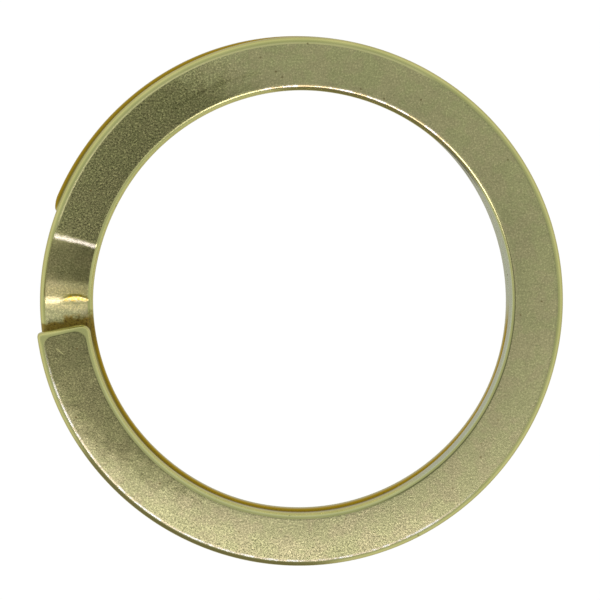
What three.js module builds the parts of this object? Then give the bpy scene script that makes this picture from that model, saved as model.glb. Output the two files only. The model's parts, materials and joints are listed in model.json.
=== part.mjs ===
// A split key ring: one length of flat brass wire with rounded edges, wound into two flat turns that lie
// one on the other. The upper turn folds down to the lower turn across a short crossover, and each turn
// ends in a free end beside it, where a key is worked in.
//
// The ring works by flexing. The half turn behind each free end is made as rigid sections, hinged where
// the wire bends, and the two back halves and the crossover between them are the stiff middle.
//
// Frame: the ring lies flat on z = 0 with its centre on the Z axis, and the crossover is on its -X side.
// Angles are in degrees about +Z from +X. They are wire angles: they run on along the wire, from the upper
// free end, round the upper turn, over the crossover and round the lower turn to the lower free end.

import * as THREE from 'three';

// Driving dimensions, in millimetres and degrees.
const OUTER_DIAMETER = 31.75;
const INNER_DIAMETER = 25.4;
const WIRE_THICKNESS = 1.4;
const EDGE_RADIUS = 0.32;
const TURN_GAP = 0.1;

const UPPER_END_ANGLE = 186.5 - 360;
const UPPER_FOLD_ANGLE = 164;
const LOWER_FOLD_ANGLE = 181;
const LOWER_END_ANGLE = 160.6 + 360;

const CROSSOVER_MARGIN = 3;
const FOLD_SOFTNESS = 0.22;
const CROSSOVER_INSET = 0.28;
const INSET_RUN = 67;
const INSET_SOFTNESS = 0.2;

const END_INNER_RADIUS = 0.4;
const END_OUTER_RADIUS = 0.25;
const END_FACE_RADIUS = 0.25;
const END_SLANT = 1.2;

const FLEX_ANGLE = 180;
const FLEX_SECTIONS = 6;
const SECTION_GAP = 0.06;

const TURN_STEP = 6;
const CROSSOVER_STEP = 1.5;
const END_STEPS = 4;
const CORNER_SEGMENTS = 2;

// Values worked out from them.
const WIRE_WIDTH = (OUTER_DIAMETER - INNER_DIAMETER) / 2;
const MIDDLE_RADIUS = (OUTER_DIAMETER + INNER_DIAMETER) / 4;
const TURN_PITCH = WIRE_THICKNESS + TURN_GAP;
const UPPER_LEVEL = TURN_PITCH + WIRE_THICKNESS / 2;
const MM_PER_DEGREE = THREE.MathUtils.degToRad(1) * MIDDLE_RADIUS;
const SECTION_ANGLE = FLEX_ANGLE / FLEX_SECTIONS;
const HALF_GAP_ANGLE = SECTION_GAP / 2 / MM_PER_DEGREE;
const CROSSOVER_START_ANGLE = UPPER_FOLD_ANGLE - CROSSOVER_MARGIN;
const CROSSOVER_END_ANGLE = LOWER_FOLD_ANGLE + CROSSOVER_MARGIN;

// Rises from 0 to 1 as t goes from 0 to 1: straight in the middle and rounded over `soft` at each end.
function ramp(t, soft) {
  if (t <= 0) return 0;
  if (t >= 1) return 1;
  const slope = 1 / (1 - soft);
  if (t < soft) return (slope * t * t) / (2 * soft);
  if (t > 1 - soft) return 1 - (slope * (1 - t) * (1 - t)) / (2 * soft);
  return slope * (t - soft / 2);
}

// The height of the wire's centre line: the upper level, the slope of the crossover, the lower level.
function wireLevel(angle) {
  const across = (angle - UPPER_FOLD_ANGLE) / (LOWER_FOLD_ANGLE - UPPER_FOLD_ANGLE);
  return UPPER_LEVEL - TURN_PITCH * ramp(across, FOLD_SOFTNESS);
}

// How far the wire is wound in towards the ring's centre: most along the crossover, and less and less
// along the run before it and the run after it.
function wireInset(angle) {
  const runIn = (angle - CROSSOVER_START_ANGLE) / INSET_RUN + 1;
  const runOut = (angle - CROSSOVER_END_ANGLE) / INSET_RUN;
  return CROSSOVER_INSET * (ramp(runIn, INSET_SOFTNESS) - ramp(runOut, INSET_SOFTNESS));
}

// How much a corner of this radius takes off an edge, at a distance from the wire's free end.
function cornerCut(distance, radius) {
  if (distance >= radius) return 0;
  return radius - Math.sqrt(radius * radius - (radius - distance) ** 2);
}

// The wire's section: a flat rectangle with rounded edges, x across the width and y through the thickness.
function wireSection() {
  const halfWidth = WIRE_WIDTH / 2;
  const halfThickness = WIRE_THICKNESS / 2;
  const x = halfWidth - EDGE_RADIUS;
  const y = halfThickness - EDGE_RADIUS;
  const quarter = Math.PI / 2;
  const section = new THREE.Shape();
  section.moveTo(halfWidth, -y);
  section.absarc(x, y, EDGE_RADIUS, 0, quarter);
  section.absarc(-x, y, EDGE_RADIUS, quarter, 2 * quarter);
  section.absarc(-x, -y, EDGE_RADIUS, 2 * quarter, 3 * quarter);
  section.absarc(x, -y, EDGE_RADIUS, 3 * quarter, 4 * quarter);
  return section;
}

// The wire angles at which a piece has a section: even steps, and closer ones round a free end's corners.
function stationAngles(start, end) {
  const onCrossover = start >= CROSSOVER_START_ANGLE && end <= CROSSOVER_END_ANGLE;
  const step = onCrossover ? CROSSOVER_STEP : TURN_STEP;
  const roundedAngle = END_INNER_RADIUS / MM_PER_DEGREE;
  const evenStart = start === UPPER_END_ANGLE ? start + roundedAngle : start;
  const evenEnd = end === LOWER_END_ANGLE ? end - roundedAngle : end;
  const angles = [];
  const count = Math.ceil((evenEnd - evenStart) / step);
  for (let i = 0; i <= count; i++) {
    angles.push(evenStart + ((evenEnd - evenStart) * i) / count);
  }
  for (let i = END_STEPS - 1; i >= 0; i--) {
    const fromEnd = roundedAngle * (1 - Math.cos((Math.PI / 2) * (i / END_STEPS)));
    if (start === UPPER_END_ANGLE) angles.unshift(start + fromEnd);
    if (end === LOWER_END_ANGLE) angles.push(end - fromEnd);
  }
  return angles;
}

// Lays a point of the straight bar (x across, y through) on the wire at a wire angle.
function layOnWire(point, angle) {
  const upperEndDistance = (angle - UPPER_END_ANGLE) * MM_PER_DEGREE;
  const lowerEndDistance = (LOWER_END_ANGLE - angle) * MM_PER_DEGREE;
  const endDistance = Math.min(upperEndDistance, lowerEndDistance);
  const inner = -WIRE_WIDTH / 2 + cornerCut(endDistance, END_INNER_RADIUS);
  const outer = WIRE_WIDTH / 2 - cornerCut(endDistance, END_OUTER_RADIUS);
  const thickness = WIRE_THICKNESS - 2 * cornerCut(endDistance, END_FACE_RADIUS);
  const across = inner + (point.x / WIRE_WIDTH + 0.5) * (outer - inner);
  const through = (point.y / WIRE_THICKNESS) * thickness;

  const slantFade = Math.max(0, 1 - endDistance / WIRE_WIDTH);
  const towardsMiddle = upperEndDistance < lowerEndDistance ? 1 : -1;
  const slant = (across / WIRE_WIDTH) * END_SLANT * slantFade * towardsMiddle;

  const radius = MIDDLE_RADIUS + across - wireInset(angle);
  const turn = THREE.MathUtils.degToRad(angle + slant);
  point.set(radius * Math.cos(turn), radius * Math.sin(turn), wireLevel(angle) + through);
}

// One solid stretch of the wire. A straight bar is extruded and bent round, last angle first, which
// keeps its faces pointing outwards.
function wirePiece(name, start, end) {
  const angles = stationAngles(start, end).reverse();
  const steps = angles.length - 1;
  const geometry = new THREE.ExtrudeGeometry(wireSection(), {
    depth: 1,
    steps,
    bevelEnabled: false,
    curveSegments: CORNER_SEGMENTS,
  });
  const position = geometry.getAttribute('position');
  const point = new THREE.Vector3();
  for (let i = 0; i < position.count; i++) {
    point.fromBufferAttribute(position, i);
    layOnWire(point, angles[Math.round(point.z * steps)]);
    position.setXYZ(i, point.x, point.y, point.z);
  }
  geometry.computeVertexNormals();
  const brass = new THREE.MeshStandardMaterial({ color: 0xaaa268, roughness: 0.45, metalness: 0.9 });
  const mesh = new THREE.Mesh(geometry, brass);
  mesh.name = name;
  return mesh;
}

// The flexing half turn behind a free end. Section 1 holds the end, and the last is next to the middle.
function flexingHalf(turnName, endAngle, direction) {
  const half = new THREE.Group();
  for (let i = 1; i <= FLEX_SECTIONS; i++) {
    const nearGap = i === 1 ? 0 : HALF_GAP_ANGLE;
    const near = endAngle + direction * ((i - 1) * SECTION_ANGLE + nearGap);
    const far = endAngle + direction * (i * SECTION_ANGLE - HALF_GAP_ANGLE);
    const name = i === 1 ? `${turnName}_free_end` : `${turnName}_flex_section_${i}`;
    half.add(wirePiece(name, Math.min(near, far), Math.max(near, far)));
  }
  return half;
}

// The stiff middle: the back half of each turn, joined by the crossover.
function stiffMiddle() {
  const upperStart = UPPER_END_ANGLE + FLEX_ANGLE + HALF_GAP_ANGLE;
  const lowerEnd = LOWER_END_ANGLE - FLEX_ANGLE - HALF_GAP_ANGLE;
  const middle = new THREE.Group();
  middle.add(wirePiece('upper_back_half', upperStart, CROSSOVER_START_ANGLE));
  middle.add(wirePiece('crossover', CROSSOVER_START_ANGLE, CROSSOVER_END_ANGLE));
  middle.add(wirePiece('lower_back_half', CROSSOVER_END_ANGLE, lowerEnd));
  return middle;
}

const splitKeyRing = new THREE.Group();
splitKeyRing.name = 'split_key_ring';
splitKeyRing.add(flexingHalf('upper', UPPER_END_ANGLE, 1));
splitKeyRing.add(stiffMiddle());
splitKeyRing.add(flexingHalf('lower', LOWER_END_ANGLE, -1));

export default splitKeyRing;
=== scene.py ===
import json
import math

import bmesh
import bpy
from mathutils import Matrix, Vector


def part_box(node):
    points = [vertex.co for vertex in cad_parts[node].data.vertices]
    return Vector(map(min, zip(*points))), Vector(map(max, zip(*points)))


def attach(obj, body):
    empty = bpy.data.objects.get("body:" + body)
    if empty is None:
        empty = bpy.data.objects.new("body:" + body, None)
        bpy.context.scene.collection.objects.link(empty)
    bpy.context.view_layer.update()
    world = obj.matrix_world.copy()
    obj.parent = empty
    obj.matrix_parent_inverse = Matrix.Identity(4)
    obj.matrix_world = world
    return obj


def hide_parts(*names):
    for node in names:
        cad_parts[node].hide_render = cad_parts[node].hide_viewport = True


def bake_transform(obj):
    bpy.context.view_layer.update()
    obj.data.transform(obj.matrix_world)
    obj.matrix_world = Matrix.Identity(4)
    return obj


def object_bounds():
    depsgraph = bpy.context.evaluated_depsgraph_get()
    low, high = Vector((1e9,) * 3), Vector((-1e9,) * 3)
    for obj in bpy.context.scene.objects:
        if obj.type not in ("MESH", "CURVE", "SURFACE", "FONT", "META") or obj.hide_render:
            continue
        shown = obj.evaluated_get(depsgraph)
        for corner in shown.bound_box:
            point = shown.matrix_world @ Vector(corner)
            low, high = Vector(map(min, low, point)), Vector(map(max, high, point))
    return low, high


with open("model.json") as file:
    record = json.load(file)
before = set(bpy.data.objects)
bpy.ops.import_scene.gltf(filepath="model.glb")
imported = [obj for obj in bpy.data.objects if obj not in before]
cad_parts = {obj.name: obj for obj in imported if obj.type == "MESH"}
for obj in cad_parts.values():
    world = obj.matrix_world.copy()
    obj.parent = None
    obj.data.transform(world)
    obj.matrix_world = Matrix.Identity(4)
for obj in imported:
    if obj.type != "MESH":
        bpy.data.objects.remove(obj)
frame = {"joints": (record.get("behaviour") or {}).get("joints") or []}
cad_low, cad_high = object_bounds()

MM = 0.001

# The frame's own dimensions.
joint_place = {j["name"]: Vector(j["pos_m"]) for j in frame["joints"]}
lower_low, lower_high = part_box("lower_back_half")
upper_low, upper_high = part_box("upper_back_half")
outer_radius = cad_high.x
middle_radius = joint_place["upper_end_opens"].xy.length
wire_width = 2 * (outer_radius - middle_radius)
wire_thickness = lower_high.z - lower_low.z
lower_level = (lower_low.z + lower_high.z) / 2
upper_level = (upper_low.z + upper_high.z) / 2
metres_per_degree = math.radians(1) * middle_radius


def angle_of(point):
    """The angle of a point round the ring, from 0 to 360 degrees."""
    return math.degrees(math.atan2(point.y, point.x)) % 360


# Where the wire begins, folds and ends. The largest bend of each turn is half a turn from its free end.
FLEX_ANGLE = 180
FLEX_SECTIONS = 6
section_angle = FLEX_ANGLE / FLEX_SECTIONS
upper_end_angle = angle_of(joint_place["upper_end_opens"]) - FLEX_ANGLE
lower_end_angle = angle_of(joint_place["lower_end_opens"]) + FLEX_ANGLE
UPPER_FOLD_ANGLE = 163.5
LOWER_FOLD_ANGLE = 181.3
CROSSOVER_MARGIN = 3
FOLD_SOFTNESS = 0.14
crossover_start = UPPER_FOLD_ANGLE - CROSSOVER_MARGIN
crossover_end = LOWER_FOLD_ANGLE + CROSSOVER_MARGIN

# The wire's section, whose faces are crowned a little, and how far it is wound in along the crossover.
EDGE_RADIUS = 0.32 * MM
FACE_CROWN = 0.02
CROSSOVER_INSET = 0.32 * MM
INSET_RUN = 76
INSET_SOFTNESS = 0.2
flat_half = wire_width / 2 - EDGE_RADIUS

# The free ends: their corners, and the wear of the flat corners of their faces.
END_INNER_RADIUS = 0.62 * MM
END_OUTER_RADIUS = 0.20 * MM
END_FACE_RADIUS = 0.34 * MM
END_SLANT = 1.2
WORN_OUTER_CORNER = 0.55 * MM
WORN_INNER_CORNER = 0.82 * MM
WORN_CORNER_DEPTH = 0.05 * MM
WORN_CORNER_BLEND = 0.5
LOWER_END_TAPER = 0.22 * MM
LOWER_END_TAPER_RUN = 0.85 * MM

# How far the wire lies inside its true circle. The upper turn comes out to the circle at one place. The
# lower turn lies in by a share of that distance, and by more at a few places.
OUT_OF_ROUND = 0.13 * MM
UPPER_ROUND_PLACE = -80
UPPER_ROUND_REACH = 75
LOWER_SHARE = 0.65
LOWER_DIPS = [  # centre, reach to each side, added share
    (UPPER_FOLD_ANGLE, 25, 0.35), (235, 50, 0.45), (375, 50, 1.15), (440, 40, 0.5), (515, 60, 0.8),
]

# The crease that the folding tool left at the foot of the slope: bowed, and steeper on its upper side.
CREASE_DEPTH = 0.08 * MM
CREASE_ACROSS = -0.55 * MM
CREASE_HALF_LENGTH = 1.0 * MM
CREASE_TOP_ANGLE = 180.4
CREASE_FOOT_ANGLE = 181.1
CREASE_BOW = 1.9
CREASE_STEEPNESS = 6

# How finely the wire is spun, and how it is ruled and joined.
TURN_STEP = 1.0
FOLD_STEP = 0.2
END_STEP = 0.1
END_RUN = 3
EDGE_SEGMENTS = 6
FACE_LINES = 20
SAME_ANGLE = 0.01
SPIN_SLACK = 1
RULE_DISTANCE = 1e-9
MERGE_DISTANCE = 1e-8
FACES_ALONG_WIRE = 0.99
LIES_ON_CUT = 0.999999


def ramp(t, soft):
    """Rises from 0 to 1 as t does: straight in the middle and rounded over soft at each end."""
    if t <= 0:
        return 0.0
    if t >= 1:
        return 1.0
    slope = 1 / (1 - soft)
    if t < soft:
        return slope * t * t / (2 * soft)
    if t > 1 - soft:
        return 1 - slope * (1 - t) ** 2 / (2 * soft)
    return slope * (t - soft / 2)


def bulge(angle, centre, reach):
    """A smooth bulge of 1 at the centre, down to 0 at the reach on each side."""
    return math.cos(math.radians(90 * min(1, abs(angle - centre) / reach))) ** 2


def wire_level(angle):
    """The height of the wire's centre line."""
    across = (angle - UPPER_FOLD_ANGLE) / (LOWER_FOLD_ANGLE - UPPER_FOLD_ANGLE)
    return upper_level + (lower_level - upper_level) * ramp(across, FOLD_SOFTNESS)


def wire_inset(angle):
    """How far the wire is wound in towards the ring's centre, most along the crossover."""
    run_in = (angle - crossover_start) / INSET_RUN + 1
    run_out = (angle - crossover_end) / INSET_RUN
    return CROSSOVER_INSET * (ramp(run_in, INSET_SOFTNESS) - ramp(run_out, INSET_SOFTNESS))


def out_of_round(angle):
    """How far the wire lies inside its true circle, because a wound ring is never quite round."""
    if angle < UPPER_FOLD_ANGLE:
        return OUT_OF_ROUND * (1 - bulge(angle, UPPER_ROUND_PLACE, UPPER_ROUND_REACH))
    share = LOWER_SHARE
    for centre, reach, added in LOWER_DIPS:
        share += added * bulge(angle, centre, reach)
    return OUT_OF_ROUND * share


def fold_crease(angle, across):
    """The depth of the crease at a place on the upper face."""
    along = (across - CREASE_ACROSS) / CREASE_HALF_LENGTH
    if abs(along) >= 1:
        return 0.0
    bow = 1 - along * along
    top = CREASE_TOP_ANGLE - CREASE_BOW * bow
    if not top < angle < CREASE_FOOT_ANGLE:
        return 0.0
    down = (angle - top) / (CREASE_FOOT_ANGLE - top)
    return CREASE_DEPTH * bow * min(1, CREASE_STEEPNESS * down) * (1 - down)


def corner_cut(distance, radius):
    """How much a corner of this radius takes off an edge, at a distance from the wire's free end."""
    if distance >= radius:
        return 0.0
    return radius - math.sqrt(radius * radius - (radius - max(0, distance)) ** 2)


def corner_wear(across, from_end):
    """How far a free end's flat corners are worn down: the inner corner further than the outer one."""
    reach = WORN_OUTER_CORNER if across > 0 else WORN_INNER_CORNER
    sideways = max(0, abs(across) - flat_half + reach) / reach
    endways = max(0, END_FACE_RADIUS + reach - from_end) / reach
    beyond = math.hypot(sideways, endways) - 1
    return WORN_CORNER_DEPTH * min(1, max(0, beyond) / WORN_CORNER_BLEND)


def lay_on_wire(bm, start):
    """Lays a plain arc of wire, spun from angle 0, on the real wire from a wire angle on.

    It also keeps each vertex's place on the wire and its share of the crease, for the finish: across from
    -1 inside to 1 outside, through from -1 below to 1 above, and along from 0 to 1.
    """
    place = bm.verts.layers.float_vector.new("wire_place")
    crease_share = bm.verts.layers.float.new("crease")
    half_width = wire_width / 2
    half_thickness = wire_thickness / 2
    for v in bm.verts:
        local = math.degrees(math.atan2(v.co.y, v.co.x))
        angle = start + (local if local > -SPIN_SLACK else local + 360)
        from_upper = (angle - upper_end_angle) * metres_per_degree
        from_lower = (lower_end_angle - angle) * metres_per_degree
        from_end = min(from_upper, from_lower)

        inner = corner_cut(from_end, END_INNER_RADIUS) - half_width
        outer = half_width - corner_cut(from_end, END_OUTER_RADIUS)
        outer -= LOWER_END_TAPER * max(0, 1 - from_lower / LOWER_END_TAPER_RUN) ** 2
        across = inner + (v.co.xy.length - middle_radius + half_width) / wire_width * (outer - inner)
        thinned = corner_cut(from_end, END_FACE_RADIUS) + corner_wear(across, from_end)
        through = v.co.z * (1 - thinned / half_thickness)
        along = (angle - upper_end_angle) / (lower_end_angle - upper_end_angle)
        v[place] = (across / half_width, through / half_thickness, along)

        fade = max(0, 1 - from_end / wire_width)
        slant = END_SLANT * fade * across / wire_width * (1 if from_upper < from_lower else -1)
        crown = FACE_CROWN * (across / half_width) ** 2
        level = wire_level(angle) + through * (1 - crown)
        if through > 0:
            crease = fold_crease(angle, across)
            v[crease_share] = crease / CREASE_DEPTH
            level -= crease
        turn = math.radians(angle + slant)
        radius = middle_radius + across - wire_inset(angle) - out_of_round(angle)
        v.co = (radius * math.cos(turn), radius * math.sin(turn), level)


def wire_section(bm):
    """The wire's section at angle 0: a flat rectangle with rounded edges, ruled with lines along the wire."""
    bmesh.ops.create_grid(bm, x_segments=1, y_segments=1, size=0.5)
    bmesh.ops.scale(bm, verts=bm.verts, vec=(wire_width, wire_thickness, 1))
    stand_up = Matrix.Rotation(math.radians(90), 3, "X")
    bmesh.ops.rotate(bm, verts=bm.verts, cent=(0, 0, 0), matrix=stand_up)
    bmesh.ops.translate(bm, verts=bm.verts, vec=(middle_radius, 0, 0))
    bmesh.ops.bevel(
        bm, geom=bm.verts[:], offset=EDGE_RADIUS, offset_type="OFFSET", affect="VERTICES",
        segments=EDGE_SEGMENTS, profile=0.5, material=-1,
    )
    for i in range(FACE_LINES + 1):
        line = Vector((middle_radius + flat_half * (2 * i / FACE_LINES - 1), 0, 0))
        everything = bm.verts[:] + bm.edges[:] + bm.faces[:]
        bmesh.ops.bisect_plane(
            bm, geom=everything, dist=RULE_DISTANCE, plane_co=line, plane_no=(1, 0, 0),
        )


def spin_on(bm, section, span, step):
    """Spins a section on by span degrees, and returns the section at the far end."""
    steps = max(1, round(span / step))
    made = bmesh.ops.spin(
        bm, geom=section, cent=(0, 0, 0), axis=(0, 0, 1), angle=math.radians(span), steps=steps,
        use_duplicate=False,
    )
    return made["geom_last"]


def smooth_wire(bm, start, end):
    """Shades the wire smooth, and keeps the flat cuts where it meets the next piece out of that."""
    cuts = [Vector((math.cos(math.radians(a)), math.sin(math.radians(a)))) for a in (start, end)]
    for f in bm.faces:
        f.normal_update()
        middle = f.calc_center_median().xy.normalized()
        f.smooth = not any(
            abs(f.normal.x * cut.y - f.normal.y * cut.x) > FACES_ALONG_WIRE
            and abs(middle.dot(cut)) > LIES_ON_CUT
            for cut in cuts
        )
    for e in bm.edges:
        e.smooth = len({f.smooth for f in e.link_faces}) == 1


def wire_piece(name, start, end):
    """One stretch of the wire between two wire angles, as an object."""
    bm = bmesh.new()
    wire_section(bm)
    section = bm.verts[:] + bm.edges[:] + bm.faces[:]
    first_run = END_RUN if abs(start - upper_end_angle) < SAME_ANGLE else 0
    last_run = END_RUN if abs(end - lower_end_angle) < SAME_ANGLE else 0
    at = start + first_run
    if first_run:
        section = spin_on(bm, section, first_run, END_STEP)
    if start < crossover_start < end:
        section = spin_on(bm, section, crossover_start - at, TURN_STEP)
        section = spin_on(bm, section, crossover_end - crossover_start, FOLD_STEP)
        at = crossover_end
    section = spin_on(bm, section, end - last_run - at, TURN_STEP)
    if last_run:
        spin_on(bm, section, last_run, END_STEP)
    bmesh.ops.remove_doubles(bm, verts=bm.verts, dist=MERGE_DISTANCE)
    bmesh.ops.holes_fill(bm, edges=[e for e in bm.edges if e.is_boundary])
    bmesh.ops.recalc_face_normals(bm, faces=bm.faces)
    lay_on_wire(bm, start)
    smooth_wire(bm, start, end)
    mesh = bpy.data.meshes.new(name)
    bm.to_mesh(mesh)
    bm.free()
    piece = bpy.data.objects.new(name, mesh)
    bpy.context.scene.collection.objects.link(piece)
    return piece


# The wire's pieces. A piece of a flexing half runs from the middle of one section to the middle of the next.
def flexing_pieces(turn_name, end_angle, direction):
    """The pieces of the half turn behind a free end, each reaching across one hinge between sections."""
    bodies = [f"{turn_name}_free_end"]
    bodies += [f"{turn_name}_flex_section_{i}" for i in range(2, FLEX_SECTIONS + 1)]
    bodies.append("middle")
    pieces = []
    for i in range(FLEX_SECTIONS):
        seam = end_angle + direction * (i + 0.5) * section_angle
        next_seam = seam + direction * section_angle
        near = end_angle if i == 0 else seam
        name = f"{turn_name}_wire_{i + 1}"
        piece = wire_piece(name, min(near, next_seam), max(near, next_seam))
        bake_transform(piece)
        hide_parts(bodies[i])
        pieces.append(piece)
    return pieces


def middle_piece():
    """The stiff middle: both back halves and the crossover between them."""
    beyond = FLEX_ANGLE + section_angle / 2
    piece = wire_piece("middle_wire", upper_end_angle + beyond, lower_end_angle - beyond)
    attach(piece, "middle")
    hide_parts("upper_back_half", "crossover", "lower_back_half")
    return piece


# The finish. A place across the wire runs from -1 at the inner edge to 1 at the outer one. A window is
# (rise from, rise to, fall from, fall to), and a step is (from, to), in degrees, in places across, in
# height or in the value of a noise. A step may also name the two values that it goes between.
ROUNDED_FACE_EDGE = (0.998, 0.98)
ROUNDED_SIDE = (0.79, 0.81)

# The steps that turn noises into speckle, from fine grains to broad clouds.
BRIGHT_GRAINS = (0.5, 0.70)
DARK_GRAINS = (0.5, 0.30)
LARGE_GRAINS = (0.56, 0.70)
FINE_GRAINS = (0.34, 0.66, -1, 1)
MOTTLE = (0.25, 0.75, -1, 1)
CLOUD = (0.3, 0.7)
PATCHES = (0.4, 0.6)
DASHES = (0.46, 0.58)

# The bloom, darkest from the top of the ring to the crossover and by the upper free end.
DRIFT_ANGLE = 5.0
BLOOM_SKEW_BEFORE_FOLD = -7.0
BLOOM_BEFORE_FOLD = (101, 122)
BLOOM_END_AT_FOLD = (174.5, 176.5)
BLOOM_BEFORE_FOLD_DEPTH = 0.54
BLOOM_SKEW_NEAR_END = 20.0
BLOOM_NEAR_END = (-122, -152)
BLOOM_NEAR_END_DEPTH = 0.49
BLOOM_AT_TIP = (-158, -168)
BLOOM_AT_TIP_DEPTH = 0.06
STREAK_ACROSS = (-0.27, -0.19, -0.16, -0.06)
STREAK_ANGLES = (99, 104, 112, 130)
STREAK_DEPTH = 0.13

# The wear at the front, which also carries a painted sheen, and the rubbed folds, which carry painted
# highlights.
OUTER_HALF = (-0.35, 0.75)
WORN_AND_SHEEN_ANGLES = (-140, -90, -76, -45)
FOLD_DRIFT_ANGLE = 0.3
UPPER_FOLD_ANGLES = (163.9, 164.8, 165.0, 165.6)
ABOVE_FOLD_ANGLES = (162.8, 164.6, 165.2, 168.0)
LOWER_FOLD_SKEW = 0.8
LOWER_FOLD_ANGLES = (173.4, 178.8, 181.8, 183.6)
PALE_ANGLES = (15, 50, 88, 105)

# How coarse the speckle is: two steps from a first coarseness to a second, and how much less at the folds.
COARSE_AT_FRONT = (-25, -95, 0.5, 0.85)
COARSE_BEFORE_FOLD = (98, 122, 0.5, 1.5)
FOLDED_ANGLES = (163, 165, 184, 186)
LESS_COARSE_AT_FOLDS = 0.5

# How bright a face is, and what the speckle, the wear, the marks, the painted sheen at the front and the
# painted highlights at the folds add to that. Faces are also lighter towards the outer edge.
FACE_SHADE = 0.565
SPECKLE_SHADE = 0.42
DARK_GRAINS_SHARE = 0.5
FINE_GRAINS_SHARE = 0.3
LARGE_GRAINS_SHARE = 0.6
MOTTLE_SHADE = 0.03
MOTTLE_SHADE_NEAR_END = 0.06
PALE_SHADE = 0.045
OUTWARD_SHADE = 0.12
# Painted sheen on the worn outer half at the front.
FRONT_SHEEN_SHADE = 0.12
# Painted highlight and glow at the lower fold and just above the upper fold.
LOWER_FOLD_HIGHLIGHT = 0.22
ABOVE_FOLD_HIGHLIGHT = 0.16
MARK_SHADE = 0.09
SCRATCH_SHADE = 0.3

# Faint marks that lie across the wire: how often they come along it and across it.
MARKS_PER_DEGREE = 4.0
MARKS_ACROSS = 2.5
MARKS = (0.66, 0.74)

# The scratch by the upper free end, along a line that is slanted across the wire.
SCRATCH_SLANT = 0.12
SCRATCH_START = 19.95
SCRATCH_WIDTH = (-0.035, -0.01, 0.01, 0.035)
SCRATCH_ANGLES = (-169.5, -169.1, -167.6, -167.2)

# Lines along the wire, where a face turns into a rounded edge. The bright ones are painted highlights; the
# dark one is only on the upper turn.
LINE_SOFTNESS = 0.02
WHITE_HIGHLIGHT_LINE = dict(across=(0.755, 0.83), angles=(-164, -52), fade=8, strength=0.95)
YELLOW_HIGHLIGHT_LINE = dict(across=(0.75, 0.82), angles=(60, 162), fade=3, strength=0.9)
CREAM_HIGHLIGHT_LINE = dict(across=(-0.91, -0.86), angles=(-160, -56), fade=8, strength=0.8)
INNER_HIGHLIGHT_LINE = dict(across=(-0.88, -0.78), angles=(46, 100), fade=3, strength=0.9)
DARK_LINE = dict(across=(-0.835, -0.795), angles=(-68, 25), fade=12)
DARK_LINE_STRENGTH = 0.85
DARK_LINE_HEIGHTS = (upper_level, upper_level + 0.1 * MM)

# The walls: warm tarnish on them with painted shade by the gap, the painted shadow beside the upper free end,
# and a painted grey reflection on the inner walls.
INNER_WALL = (-0.8, -0.9)
OUTER_WALL = (0.8, 0.9)
INNER_WALL_UPPER_TURN = (-0.89, -0.94)
LOWER_INNER_TARNISH = (184, 188, 352, 362)
LOWER_OUTER_TARNISH = (186, 190)
GAP_HEIGHTS = (lower_high.z - 0.95 * MM, lower_high.z - 0.45 * MM, lower_high.z, upper_low.z)
UPPER_INNER_TARNISH = (-56, -64)
UPPER_TARNISH_HEIGHTS = (upper_level + 0.25 * MM, upper_level)
# Where the tarnish darkens into painted shade close to the gap between the turns.
GAP_SHADE_HEIGHTS = (lower_high.z - 0.3 * MM, lower_high.z)
# The painted shadow and brown tarnish on the lower turn's top face, just beside the upper free end.
BESIDE_END_SKEW = -0.9
BESIDE_END_FROM = (183.8, 185.4)
BESIDE_END_TO = (196, 190)
ON_TOP_FACE = (0.3, 0.9)
BESIDE_END_STRENGTH = 0.9
UPPER_GREY_ANGLES = (-66, -50, 44, 52)
LOWER_GREY_ANGLES = (350, 362, 408, 416)

# Pits, and gold spots in the crease.
PITS_PER_MM = 1.1
PIT_SIZE = (0.09, 0.05)
PIT_STRENGTH = 0.6
SOME_PITS = (0.48, 0.52)
IN_CREASE = (0.1, 0.5)
GOLD_SPOTS = (0.44, 0.56)

# Gloss and relief.
FACE_ROUGHNESS = 0.37
CLOUD_ROUGHNESS = 0.05
EDGE_ROUGHNESS = 0.21
RUBBED_SHARE = 0.6
# The share of the painted white highlight along the upper fold.
FOLD_HIGHLIGHT_SHARE = 0.5
RELIEF_DEPTH = 0.005 * MM
RELIEF_STRENGTH = 0.6
FINE_RELIEF_SHARE = 0.4

OLIVE_BRASS = (0.85, 0.82, 0.435, 1)
WARM_BRASS = (0.88, 0.80, 0.455, 1)
BLOOMED_BRASS = (0.86, 0.84, 0.34, 1)
# Painted highlight of clean brass at the lower fold.
FOLD_HIGHLIGHT_BRASS = (1.0, 0.88, 0.46, 1)
DULL_EDGE = (0.76, 0.72, 0.34, 1)
BRIGHT_EDGE = (0.86, 0.80, 0.40, 1)
# Painted warm-white highlight, along the upper fold and in the inner edge's glints.
WARM_HIGHLIGHT_WHITE = (1.0, 0.92, 0.80, 1)
# The colours of the painted highlight lines along the edges, with TAN and DARK_TAN between their glints.
TAN = (0.80, 0.70, 0.48, 1)
DARK_TAN = (0.60, 0.48, 0.26, 1)
LINE_HIGHLIGHT_WHITE = (1.0, 0.97, 0.90, 1)
LINE_CREAM = (1.0, 0.95, 0.55, 1)
LINE_YELLOW = (1.0, 0.92, 0.50, 1)
LINE_DARK = (0.10, 0.10, 0.05, 1)
GOLD = (0.64, 0.43, 0.02, 1)
# Painted shade in the gap between the turns.
GAP_SHADE_GOLD = (0.27, 0.17, 0.02, 1)
# Painted shadow with brown tarnish, beside the upper free end.
SHADOW_TARNISH_BROWN = (0.33, 0.21, 0.035, 1)
DARK_SHADOW_BROWN = (0.12, 0.07, 0.02, 1)
CREASE_GOLD = (0.95, 0.66, 0.12, 1)
# Painted grey reflection on the inner walls.
WALL_REFLECTION_GREY = (0.70, 0.72, 0.67, 1)
PIT_BROWN = (0.16, 0.11, 0.04, 1)
BLACK = (0.0, 0.0, 0.0, 1)


# A Mix node has sockets for every kind of data: these are the share and the two ends of a mix.
MIX_COLOUR_INPUTS = (0, 6, 7)
MIX_COLOUR_OUTPUT = 2
MIX_NUMBER_INPUTS = (0, 2, 3)


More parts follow.
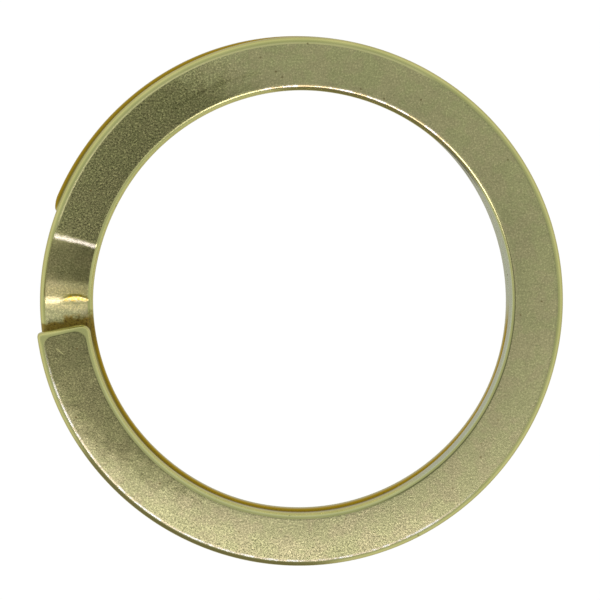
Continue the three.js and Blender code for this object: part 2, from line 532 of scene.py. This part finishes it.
class Nodes:
    """A node tree, with short ways to add to it. A value is a number, a colour or a node's output."""

    def __init__(self, tree):
        self.tree = tree

    def add(self, kind, **settings):
        """Adds a node. A setting is a property of the node, or else one of its inputs by name."""
        node = self.tree.nodes.new(kind)
        for key, value in settings.items():
            if hasattr(node, key):
                setattr(node, key, value)
            else:
                self.feed(node.inputs[key.replace("_", " ")], value)
        return node

    def feed(self, socket, value):
        """Sets a socket to a value, or joins another node's output to it."""
        if isinstance(value, bpy.types.NodeSocket):
            self.tree.links.new(value, socket)
        else:
            socket.default_value = value

    def math(self, operation, *values):
        node = self.add("ShaderNodeMath", operation=operation)
        for socket, value in zip(node.inputs, values):
            self.feed(socket, value)
        return node.outputs[0]

    def vector_math(self, operation, *values):
        node = self.add("ShaderNodeVectorMath", operation=operation)
        for socket, value in zip(node.inputs, values):
            self.feed(socket, value)
        return node

    def plus(self, base, value, amount=1.0):
        """The base, and an amount of the value on top."""
        return self.math("MULTIPLY_ADD", value, amount, base)

    def less(self, base, value):
        return self.math("SUBTRACT", base, value)

    def both(self, a, b):
        return self.math("MULTIPLY", a, b)

    def either(self, a, b):
        return self.math("MAXIMUM", a, b)

    def unsigned(self, value):
        return self.math("ABSOLUTE", value)

    def step(self, value, low, high, to_low=0.0, to_high=1.0):
        """Maps a value smoothly from low..high to to_low..to_high."""
        node = self.add(
            "ShaderNodeMapRange", interpolation_type="SMOOTHSTEP",
            Value=value, From_Min=low, From_Max=high, To_Min=to_low, To_Max=to_high,
        )
        return node.outputs[0]

    def window(self, value, rise_from, rise_to, fall_from, fall_to):
        """1 between two values, falling smoothly to 0 outside them."""
        return self.less(self.step(value, rise_from, rise_to), self.step(value, fall_from, fall_to))

    def mix(self, share, a, b):
        node = self.add("ShaderNodeMix", data_type="RGBA")
        for socket, value in zip(MIX_COLOUR_INPUTS, (share, a, b)):
            self.feed(node.inputs[socket], value)
        return node.outputs[MIX_COLOUR_OUTPUT]

    def noise(self, place, per_mm, detail, roughness=0.5):
        node = self.add(
            "ShaderNodeTexNoise", Vector=place, Scale=per_mm / MM, Detail=detail, Roughness=roughness,
        )
        return node.outputs[0]


class Finish(Nodes):
    """A material's node tree."""

    def __init__(self, name):
        self.material = bpy.data.materials.new(name)
        self.material.use_nodes = True
        super().__init__(self.material.node_tree)
        self.shader = self.tree.nodes["Principled BSDF"]


class WireBrass(Finish):
    """Tumbled brass with a thin olive bloom, speckled on its faces and brighter on its rounded edges."""

    def __init__(self):
        super().__init__("aged_brass")
        self.place = self.add("ShaderNodeTexCoord").outputs["Object"]
        on_wire = self.add("ShaderNodeAttribute", attribute_name="wire_place").outputs["Vector"]
        self.across, self.through, along = self.add("ShaderNodeSeparateXYZ", Vector=on_wire).outputs
        self.height = self.add("ShaderNodeSeparateXYZ", Vector=self.place).outputs[2]
        self.angle = self.plus(upper_end_angle, along, lower_end_angle - upper_end_angle)
        self.make_speckle()
        self.find_wear()
        self.find_bloom()
        self.find_coarseness()

        colour = self.mix(self.edge, self.face_colour(), self.mix(self.cloud, DULL_EDGE, BRIGHT_EDGE))
        colour = self.paint_highlight_and_dark_lines(colour)
        colour = self.tarnish_walls(colour)
        colour = self.shadow_and_tarnish_beside_end(colour)
        colour = self.gild_crease(colour)
        colour = self.paint_inner_wall_reflection(colour)
        colour = self.pit(colour)
        self.feed(self.shader.inputs["Base Color"], colour)
        self.shader.inputs["Metallic"].default_value = 1.0
        self.gloss()
        self.emboss()

    def make_speckle(self):
        """Noises from fine grains to broad clouds: shares from 0 to 1, or values from -1 to 1."""
        place = self.place
        grains = self.noise(place, per_mm=9, detail=2, roughness=0.7)
        self.bright_grains = self.step(grains, *BRIGHT_GRAINS)
        self.dark_grains = self.step(grains, *DARK_GRAINS)
        large_grains = self.noise(place, per_mm=4.5, detail=2, roughness=0.6)
        self.large_grains = self.step(large_grains, *LARGE_GRAINS)
        fine = self.noise(place, per_mm=20, detail=2, roughness=0.6)
        self.fine = self.step(fine, *FINE_GRAINS)
        mottle = self.noise(place, per_mm=1.5, detail=4, roughness=0.6)
        self.mottle = self.step(mottle, *MOTTLE)
        self.cloud = self.step(self.noise(place, per_mm=0.35, detail=3), *CLOUD)
        patches = self.noise(place, per_mm=0.9, detail=3, roughness=0.6)
        self.patches = self.step(patches, *PATCHES)
        dashes = self.noise(place, per_mm=1.1, detail=3, roughness=0.75)
        self.dashes = self.step(dashes, *DASHES)

    def find_wear(self):
        """Where the wire is rounded, where the front is worn and carries a painted sheen, and where the folds
        are rubbed smooth and carry painted highlights.
        """
        face_edge = self.step(self.unsigned(self.through), *ROUNDED_FACE_EDGE)
        self.edge = self.either(face_edge, self.step(self.unsigned(self.across), *ROUNDED_SIDE))
        self.inner_wall = self.step(self.across, *INNER_WALL)
        outwards = self.step(self.across, *OUTER_HALF)
        # Worn at the front, which also gets a painted sheen there.
        self.worn_and_sheen = self.both(outwards, self.window(self.angle, *WORN_AND_SHEEN_ANGLES))
        shifted = self.plus(self.angle, self.mottle, FOLD_DRIFT_ANGLE)
        self.upper_fold = self.window(shifted, *UPPER_FOLD_ANGLES)
        self.above_fold = self.both(self.window(shifted, *ABOVE_FOLD_ANGLES), outwards)
        skewed = self.plus(shifted, outwards, LOWER_FOLD_SKEW)
        self.lower_fold = self.window(skewed, *LOWER_FOLD_ANGLES)

    def find_bloom(self):
        """How deep the bloom is, with one darker streak along the wire."""
        self.drift = self.plus(self.angle, self.mottle, DRIFT_ANGLE)
        skewed = self.plus(self.drift, self.across, BLOOM_SKEW_BEFORE_FOLD)
        near_fold = self.step(skewed, *BLOOM_BEFORE_FOLD)
        near_fold = self.less(near_fold, self.step(self.angle, *BLOOM_END_AT_FOLD))
        skewed = self.plus(self.drift, self.across, BLOOM_SKEW_NEAR_END)
        self.near_end = self.step(skewed, *BLOOM_NEAR_END)
        bloom = self.either(
            self.both(near_fold, BLOOM_BEFORE_FOLD_DEPTH), self.both(self.near_end, BLOOM_NEAR_END_DEPTH)
        )
        streak = self.both(
            self.window(self.across, *STREAK_ACROSS), self.window(self.angle, *STREAK_ANGLES)
        )
        bloom = self.plus(bloom, streak, STREAK_DEPTH)
        self.bloom = self.plus(bloom, self.step(self.angle, *BLOOM_AT_TIP), BLOOM_AT_TIP_DEPTH)

    def find_coarseness(self):
        """How strong the speckle is: most where the wire is worn, and less at the folds."""
        coarse = self.either(
            self.step(self.drift, *COARSE_AT_FRONT), self.step(self.drift, *COARSE_BEFORE_FOLD)
        )
        coarse = self.both(coarse, self.plus(1.0, self.worn_and_sheen))
        folded = self.window(self.angle, *FOLDED_ANGLES)
        self.coarse = self.both(coarse, self.plus(1.0, folded, -LESS_COARSE_AT_FOLDS))

    def face_shade(self):
        """How bright the faces are."""
        grain = self.plus(self.bright_grains, self.dark_grains, -DARK_GRAINS_SHARE)
        grain = self.plus(grain, self.fine, FINE_GRAINS_SHARE)
        grain = self.plus(grain, self.large_grains, self.both(self.worn_and_sheen, LARGE_GRAINS_SHARE))
        shade = self.plus(FACE_SHADE, self.both(grain, self.coarse), SPECKLE_SHADE)
        mottle_shade = self.plus(MOTTLE_SHADE, self.near_end, MOTTLE_SHADE_NEAR_END)
        shade = self.plus(shade, self.mottle, mottle_shade)
        shade = self.plus(shade, self.window(self.angle, *PALE_ANGLES), PALE_SHADE)
        shade = self.both(shade, self.less(1.0, self.bloom))
        shade = self.both(shade, self.plus(1.0, self.across, OUTWARD_SHADE))
        # Painted sheen on the worn front.
        shade = self.plus(shade, self.worn_and_sheen, FRONT_SHEEN_SHADE)
        # Painted highlight and glow at the folds.
        shade = self.plus(shade, self.lower_fold, LOWER_FOLD_HIGHLIGHT)
        shade = self.plus(shade, self.above_fold, ABOVE_FOLD_HIGHLIGHT)
        shade = self.plus(shade, self.marks_across(), MARK_SHADE)
        return self.plus(shade, self.scratch(), SCRATCH_SHADE)

    def marks_across(self):
        """Faint marks that lie across the wire."""
        stretched = self.add(
            "ShaderNodeCombineXYZ",
            X=self.both(self.angle, MARKS_PER_DEGREE), Y=self.both(self.across, MARKS_ACROSS),
        )
        marks = self.add("ShaderNodeTexNoise", Vector=stretched.outputs[0], Scale=1.0, Detail=1.0)
        return self.step(marks.outputs[0], *MARKS)

    def scratch(self):
        """One scratch by the upper free end, slanted across the wire."""
        line = self.plus(self.plus(SCRATCH_START, self.across), self.angle, SCRATCH_SLANT)
        return self.both(self.window(line, *SCRATCH_WIDTH), self.window(self.angle, *SCRATCH_ANGLES))

    def face_colour(self):
        """The faces: patches of olive and of warm brass, shaded, with a painted highlight of clean brass at
        the lower fold and a painted white highlight along the upper fold.
        """
        metal = self.mix(self.patches, OLIVE_BRASS, WARM_BRASS)
        metal = self.mix(self.bloom, metal, BLOOMED_BRASS)
        # Painted highlight of clean brass at the lower fold.
        metal = self.mix(self.lower_fold, metal, FOLD_HIGHLIGHT_BRASS)
        colour = self.mix(self.face_shade(), BLACK, metal)
        return self.mix(self.both(self.upper_fold, FOLD_HIGHLIGHT_SHARE), colour, WARM_HIGHLIGHT_WHITE)

    def line(self, colour, paint, across, angles, fade, strength):
        """A line of paint along the wire, between two places across it and two wire angles."""
        (low, high), (start, end) = across, angles
        soft = LINE_SOFTNESS
        width = self.window(self.across, low - soft, low + soft, high - soft, high + soft)
        length = self.window(self.angle, start - fade, start + fade, end - fade, end + fade)
        return self.mix(self.both(self.both(width, length), strength), colour, paint)

    def paint_highlight_and_dark_lines(self, colour):
        """Lines where a face turns into a rounded edge: painted highlights, and one dark line above the
        painted grey reflection.
        """
        # Painted highlights along the edges; the white and inner ones are broken into dashes.
        colour = self.line(colour, self.mix(self.dashes, TAN, LINE_HIGHLIGHT_WHITE), **WHITE_HIGHLIGHT_LINE)
        colour = self.line(colour, LINE_YELLOW, **YELLOW_HIGHLIGHT_LINE)
        colour = self.line(colour, LINE_CREAM, **CREAM_HIGHLIGHT_LINE)
        colour = self.line(colour, self.mix(self.dashes, DARK_TAN, WARM_HIGHLIGHT_WHITE), **INNER_HIGHLIGHT_LINE)
        strength = self.both(self.step(self.height, *DARK_LINE_HEIGHTS), DARK_LINE_STRENGTH)
        return self.line(colour, LINE_DARK, strength=strength, **DARK_LINE)

    def tarnish_walls(self, colour):
        """Warm tarnish on the walls by the gap where the turns lie on each other, darkened by painted shade
        close to the gap.
        """
        lower_inner = self.both(self.inner_wall, self.window(self.angle, *LOWER_INNER_TARNISH))
        lower_outer = self.both(
            self.step(self.across, *OUTER_WALL), self.step(self.angle, *LOWER_OUTER_TARNISH)
        )
        lower = self.both(self.either(lower_inner, lower_outer), self.window(self.height, *GAP_HEIGHTS))
        upper = self.both(self.inner_wall, self.step(self.angle, *UPPER_INNER_TARNISH))
        upper = self.both(upper, self.step(self.height, *UPPER_TARNISH_HEIGHTS))
        # Tarnish, darkening into painted shade close to the gap between the turns.
        gold_and_gap_shade = self.mix(self.step(self.height, *GAP_SHADE_HEIGHTS), GOLD, GAP_SHADE_GOLD)
        return self.mix(self.either(lower, upper), colour, gold_and_gap_shade)

    def shadow_and_tarnish_beside_end(self, colour):
        """A painted shadow of the upper free end, warmed as brown tarnish, on the lower turn's top face just
        beside that end.
        """
        skewed = self.plus(self.plus(self.angle, self.across, BESIDE_END_SKEW), self.mottle)
        beside = self.both(self.step(skewed, *BESIDE_END_FROM), self.step(self.angle, *BESIDE_END_TO))
        beside = self.both(beside, self.step(self.through, *ON_TOP_FACE))
        shadow_and_tarnish = self.mix(self.dark_grains, SHADOW_TARNISH_BROWN, DARK_SHADOW_BROWN)
        return self.mix(self.both(beside, BESIDE_END_STRENGTH), colour, shadow_and_tarnish)

    def gild_crease(self, colour):
        """Gold spots in the crease at the foot of the slope."""
        crease = self.add("ShaderNodeAttribute", attribute_name="crease").outputs["Fac"]
        spots = self.step(self.noise(self.place, per_mm=5, detail=2), *GOLD_SPOTS)
        return self.mix(self.both(self.step(crease, *IN_CREASE), spots), colour, CREASE_GOLD)

    def paint_inner_wall_reflection(self, colour):
        """A painted grey reflection on the inner walls of the half away from the crossover."""
        upper = self.both(
            self.step(self.across, *INNER_WALL_UPPER_TURN), self.window(self.angle, *UPPER_GREY_ANGLES)
        )
        lower = self.both(self.inner_wall, self.window(self.angle, *LOWER_GREY_ANGLES))
        return self.mix(self.either(upper, lower), colour, WALL_REFLECTION_GREY)

    def pit(self, colour):
        """A few small dark pits."""
        cells = self.add("ShaderNodeTexVoronoi", Vector=self.place, Scale=PITS_PER_MM / MM, Randomness=1.0)
        some = self.step(self.noise(self.place, per_mm=0.9, detail=1), *SOME_PITS)
        pits = self.both(self.step(cells.outputs["Distance"], *PIT_SIZE), some)
        return self.mix(self.both(pits, PIT_STRENGTH), colour, PIT_BROWN)

    def gloss(self):
        """Satin faces, and smoother edges and folds."""
        rubbed = self.both(self.either(self.upper_fold, self.lower_fold), RUBBED_SHARE)
        face_roughness = self.plus(FACE_ROUGHNESS, self.cloud, CLOUD_ROUGHNESS)
        rough = self.add("ShaderNodeMix")
        values = (self.either(self.edge, rubbed), face_roughness, EDGE_ROUGHNESS)
        for socket, value in zip(MIX_NUMBER_INPUTS, values):
            self.feed(rough.inputs[socket], value)
        self.feed(self.shader.inputs["Roughness"], rough.outputs[0])

    def emboss(self):
        """The speckle's own fine relief, on the faces only."""
        relief = self.less(self.bright_grains, self.dark_grains)
        relief = self.both(self.plus(relief, self.fine, FINE_RELIEF_SHARE), self.coarse)
        relief = self.both(relief, self.less(1.0, self.edge))
        bump = self.add("ShaderNodeBump", Strength=RELIEF_STRENGTH, Distance=RELIEF_DEPTH, Height=relief)
        self.feed(self.shader.inputs["Normal"], bump.outputs[0])


def plain(name, colour, roughness, glow=0.0):
    """A plain matt finish for the studio."""
    finish = Finish(name)
    finish.shader.inputs["Base Color"].default_value = colour
    finish.shader.inputs["Roughness"].default_value = roughness
    finish.shader.inputs["Emission Color"].default_value = (1, 1, 1, 1)
    finish.shader.inputs["Emission Strength"].default_value = glow
    return finish.material


# The studio. The camera is above the ring, leaning towards its back.
CAMERA_DISTANCE = 0.30
CAMERA_CLIP = 0.01
CAMERA_LEAN = 4.95
CAMERA_LEAN_TOWARDS = 116
HALF_VIEW = 0.017853
VIEW_CENTRE = (0.023 * MM, 0.106 * MM)

FLOOR_HALF_WIDTH = 1.5
FLOOR_COLOUR = (0.02, 0.02, 0.02, 1)
FLOOR_ROUGHNESS = 0.9
FLOOR_GLOW = 1.0

# The sky from straight below, by way of the horizon, to straight above, and the darker side of the room:
# one sector of the compass, up to half way and down to half way, with soft borders.
SKY = [
    (0.0, (0.50, 0.49, 0.38)), (0.45, (0.62, 0.63, 0.50)), (0.55, (0.68, 0.72, 0.58)),
    (0.95, (0.385, 0.425, 0.355)),
]
DARK_SIDE_COLOUR = (0.18, 0.17, 0.12, 1)
DARK_SIDE_AZIMUTH = -111
DARK_SIDE_SPREAD = (31, 29)
DARK_SIDE_HEIGHTS = (0.75, 0.6)

SOFTBOX_AZIMUTH = -104
SOFTBOX_REACH = 0.047
SOFTBOX_RISE = 0.10
SOFTBOX_WIDTH = 0.08
SOFTBOX_DEPTH = 0.02
SOFTBOX_POWER = 0.023
SOFTBOX_COLOUR = (1.0, 0.91, 1.0)


def towards(azimuth):
    """The level direction at this many degrees round from +X."""
    return Vector((math.cos(math.radians(azimuth)), math.sin(math.radians(azimuth)), 0))


def add_camera():
    """The camera, upright and with +X to its right."""
    lean = math.radians(CAMERA_LEAN)
    offset = towards(CAMERA_LEAN_TOWARDS) * math.sin(lean) + Vector((0, 0, math.cos(lean)))
    target = Vector((*VIEW_CENTRE, cad_high.z))
    data = bpy.data.cameras.new("camera")
    data.angle = 2 * math.atan(HALF_VIEW / CAMERA_DISTANCE)
    data.clip_start = CAMERA_CLIP
    camera = bpy.data.objects.new("camera", data)
    bpy.context.scene.collection.objects.link(camera)
    right = (Vector((1, 0, 0)) - offset * offset.x).normalized()
    up = offset.cross(right)
    turn = Matrix((right, up, offset)).transposed().to_4x4()
    camera.matrix_world = Matrix.Translation(target + offset * CAMERA_DISTANCE) @ turn
    bpy.context.scene.camera = camera


def add_floor():
    """A plain white floor that glows, so that the ring casts no shadow on it."""
    bm = bmesh.new()
    bmesh.ops.create_grid(bm, x_segments=1, y_segments=1, size=FLOOR_HALF_WIDTH)
    mesh = bpy.data.meshes.new("floor")
    bm.to_mesh(mesh)
    bm.free()
    floor = bpy.data.objects.new("floor", mesh)
    floor.data.materials.append(plain("white_floor", FLOOR_COLOUR, FLOOR_ROUGHNESS, FLOOR_GLOW))
    floor.visible_glossy = False
    bpy.context.scene.collection.objects.link(floor)


def add_softbox():
    """A small soft light in front of the ring, facing its centre."""
    place = towards(SOFTBOX_AZIMUTH) * SOFTBOX_REACH + Vector((0, 0, SOFTBOX_RISE))
    data = bpy.data.lights.new("front_softbox", "AREA")
    data.shape = "RECTANGLE"
    data.size = SOFTBOX_WIDTH
    data.size_y = SOFTBOX_DEPTH
    data.energy = SOFTBOX_POWER
    data.color = SOFTBOX_COLOUR
    light = bpy.data.objects.new("front_softbox", data)
    light.matrix_world = Matrix.Translation(place) @ place.to_track_quat("Z", "Y").to_matrix().to_4x4()
    light.visible_camera = False
    bpy.context.scene.collection.objects.link(light)


def add_sky():
    """A soft sky, brightest at the horizon, with a darker side low in front."""
    world = bpy.data.worlds.new("studio")
    world.use_nodes = True
    sky = Nodes(world.node_tree)
    direction = sky.add("ShaderNodeTexCoord").outputs["Generated"]
    height = sky.add("ShaderNodeSeparateXYZ", Vector=direction).outputs[2]
    colours = sky.add("ShaderNodeValToRGB", Fac=sky.step(height, -1, 1))
    stops = colours.color_ramp.elements
    while len(stops) < len(SKY):
        stops.new(0.5)
    for stop, (position, colour) in zip(stops, SKY):
        stop.position = position
        stop.color = (*colour, 1)

    level = sky.vector_math("MULTIPLY", direction, (1, 1, 0)).outputs["Vector"]
    compass = sky.vector_math("NORMALIZE", level).outputs["Vector"]
    facing = sky.vector_math("DOT_PRODUCT", compass, towards(DARK_SIDE_AZIMUTH)).outputs["Value"]
    sector = sky.step(facing, *(math.cos(math.radians(a)) for a in DARK_SIDE_SPREAD))
    dark = sky.both(sector, sky.step(height, *DARK_SIDE_HEIGHTS))
    dark = sky.both(dark, sky.step(height, *(-h for h in DARK_SIDE_HEIGHTS)))
    background = sky.tree.nodes["Background"]
    sky.feed(background.inputs["Color"], sky.mix(dark, colours.outputs[0], DARK_SIDE_COLOUR))
    bpy.context.scene.world = world


add_camera()
brass = WireBrass().material
wire = flexing_pieces("upper", upper_end_angle, 1)
wire.append(middle_piece())
wire.extend(flexing_pieces("lower", lower_end_angle, -1))
for piece in wire:
    piece.data.materials.append(brass)
add_floor()
add_sky()
add_softbox()
bpy.context.scene.view_settings.view_transform = "Standard"
